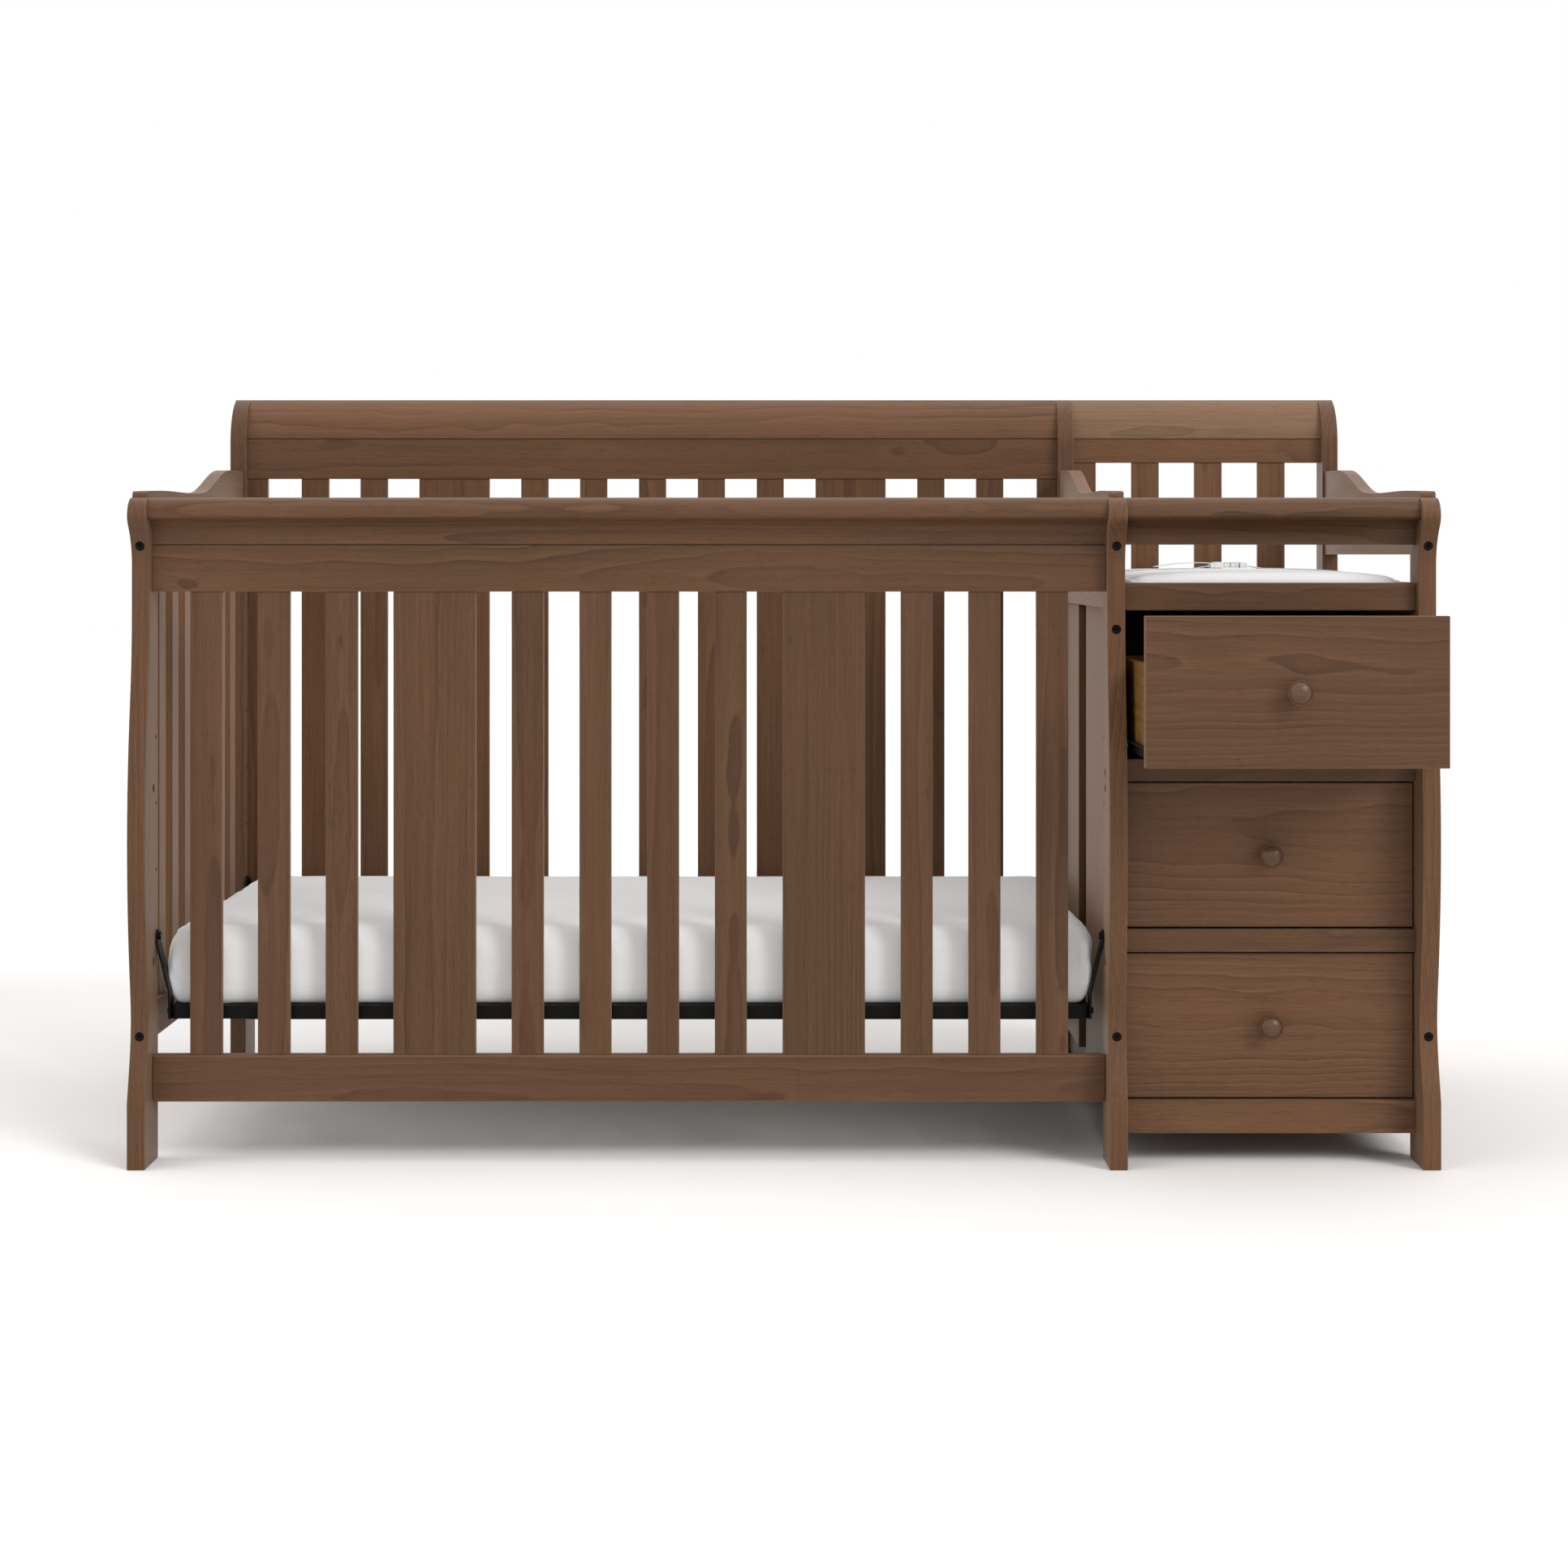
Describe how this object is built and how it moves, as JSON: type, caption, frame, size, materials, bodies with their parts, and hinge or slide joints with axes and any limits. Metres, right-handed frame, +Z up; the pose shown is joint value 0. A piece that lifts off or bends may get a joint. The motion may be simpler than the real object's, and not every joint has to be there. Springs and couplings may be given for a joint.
{
  "type": "crib with attached changer",
  "caption": "Sleigh crib in brown stained wood with a slatted front and back, a sprung mattress platform and an attached changing chest with drawers, the top one pulled out.",
  "frame": {"origin": "on the floor, under the middle of the box round the whole object with the top drawer pulled out as in the picture", "axes": "+X runs along the crib towards the changing chest, +Y runs from the front to the back, +Z is up"},
  "size_m": [1.812, 1.0568, 1.104],
  "materials": {
    "stained_wood": "brown stained wood with fine straight grain under a satin clear coat",
    "stained_wood_inner": "brown stained board inside the chest, satin",
    "golden_pine": "clear-coated raw pine of the drawer boxes",
    "black_steel": "black powder coat, slightly textured",
    "bolt_black": "black oxide with a hexagon socket",
    "roller_nylon": "off-white nylon",
    "fitted_sheet": "white cotton sheet with soft wrinkles at the corners",
    "pad_cover": "white wipe-clean cover, smooth",
    "strap_webbing": "white woven webbing",
    "buckle_plastic": "white moulded plastic"
  },
  "bodies": {
    "crib_and_chest": {"front_left_post": "stained_wood", "front_middle_post": "stained_wood", "front_right_post": "stained_wood", "back_left_post": "stained_wood", "back_middle_post": "stained_wood", "back_right_post": "stained_wood", "front_crown": "stained_wood", "front_top_rail": "stained_wood", "front_bottom_rail": "stained_wood", "front_slats": "stained_wood", "back_crown": "stained_wood", "back_top_rail": "stained_wood", "back_bottom_rail": "stained_wood", "back_slats": "stained_wood", "left_end_top_rail": "stained_wood", "left_end_bottom_rail": "stained_wood", "left_end_slats": "stained_wood", "middle_end_top_rail": "stained_wood", "divider_boards": "stained_wood", "right_end_top_rail": "stained_wood", "chest_left_side": "stained_wood_inner", "chest_right_side": "stained_wood", "chest_base": "stained_wood_inner", "chest_back": "stained_wood_inner", "tray_board": "stained_wood_inner", "tray_rail": "stained_wood", "drawer_rails": "stained_wood", "toe_rail": "stained_wood", "changer_guard": "stained_wood", "hutch_crown": "stained_wood", "hutch_top_rail": "stained_wood", "hutch_low_rail": "stained_wood", "hutch_slats": "stained_wood", "chest_runners": "black_steel", "mattress_support": "black_steel", "mattress_hangers": "black_steel", "mattress": "fitted_sheet", "changing_pad": "pad_cover", "safety_strap": "strap_webbing", "strap_buckle": "buckle_plastic", "frame_bolts": "bolt_black", "hanger_bolts": "bolt_black"},
    "top_drawer": {"top_drawer_front": "stained_wood", "top_drawer_box": "golden_pine", "top_drawer_knob": "stained_wood", "top_drawer_runners": "black_steel"},
    "top_front_roller_pair": {"top_front_rollers": "roller_nylon"},
    "top_rear_roller_pair": {"top_rear_rollers": "roller_nylon"},
    "middle_drawer": {"middle_drawer_front": "stained_wood", "middle_drawer_box": "golden_pine", "middle_drawer_knob": "stained_wood", "middle_drawer_runners": "black_steel"},
    "middle_front_roller_pair": {"middle_front_rollers": "roller_nylon"},
    "middle_rear_roller_pair": {"middle_rear_rollers": "roller_nylon"},
    "bottom_drawer": {"bottom_drawer_front": "stained_wood", "bottom_drawer_box": "golden_pine", "bottom_drawer_knob": "stained_wood", "bottom_drawer_runners": "black_steel"},
    "bottom_front_roller_pair": {"bottom_front_rollers": "roller_nylon"},
    "bottom_rear_roller_pair": {"bottom_rear_rollers": "roller_nylon"}
  },
  "joints": [
    {"name": "top_drawer_slide", "type": "slide", "parent": "crib_and_chest", "child": "top_drawer", "axis": [0, -1, 0], "range_m": [-0.234, 0.086]},
    {"name": "top_front_roller_spin", "type": "hinge", "parent": "crib_and_chest", "child": "top_front_roller_pair", "pos_m": [0.6775, -0.2346, 0.583], "axis": [1, 0, 0], "range_deg": [-2073, 769]},
    {"name": "top_rear_roller_spin", "type": "hinge", "parent": "top_drawer", "child": "top_rear_roller_pair", "pos_m": [0.6775, -0.0436, 0.583], "axis": [1, 0, 0], "range_deg": [-2073, 769]},
    {"name": "middle_drawer_slide", "type": "slide", "parent": "crib_and_chest", "child": "middle_drawer", "axis": [0, -1, 0], "range_m": [0, 0.32]},
    {"name": "middle_front_roller_spin", "type": "hinge", "parent": "crib_and_chest", "child": "middle_front_roller_pair", "pos_m": [0.6775, -0.2346, 0.345], "axis": [1, 0, 0], "range_deg": [-10, 2831]},
    {"name": "middle_rear_roller_spin", "type": "hinge", "parent": "middle_drawer", "child": "middle_rear_roller_pair", "pos_m": [0.6775, 0.1904, 0.345], "axis": [1, 0, 0], "range_deg": [-10, 2831]},
    {"name": "bottom_drawer_slide", "type": "slide", "parent": "crib_and_chest", "child": "bottom_drawer", "axis": [0, -1, 0], "range_m": [0, 0.32]},
    {"name": "bottom_front_roller_spin", "type": "hinge", "parent": "crib_and_chest", "child": "bottom_front_roller_pair", "pos_m": [0.6775, -0.2346, 0.107], "axis": [1, 0, 0], "range_deg": [-10, 2831]},
    {"name": "bottom_rear_roller_spin", "type": "hinge", "parent": "bottom_drawer", "child": "bottom_rear_roller_pair", "pos_m": [0.6775, 0.1904, 0.107], "axis": [1, 0, 0], "range_deg": [-10, 2831]}
  ],
  "couplings": [
    {"joint": "top_front_roller_spin", "follows": "top_drawer_slide", "rad_per_m": 153.85},
    {"joint": "top_rear_roller_spin", "follows": "top_drawer_slide", "rad_per_m": 153.85},
    {"joint": "middle_front_roller_spin", "follows": "middle_drawer_slide", "rad_per_m": 153.85},
    {"joint": "middle_rear_roller_spin", "follows": "middle_drawer_slide", "rad_per_m": 153.85},
    {"joint": "bottom_front_roller_spin", "follows": "bottom_drawer_slide", "rad_per_m": 153.85},
    {"joint": "bottom_rear_roller_spin", "follows": "bottom_drawer_slide", "rad_per_m": 153.85}
  ]
}
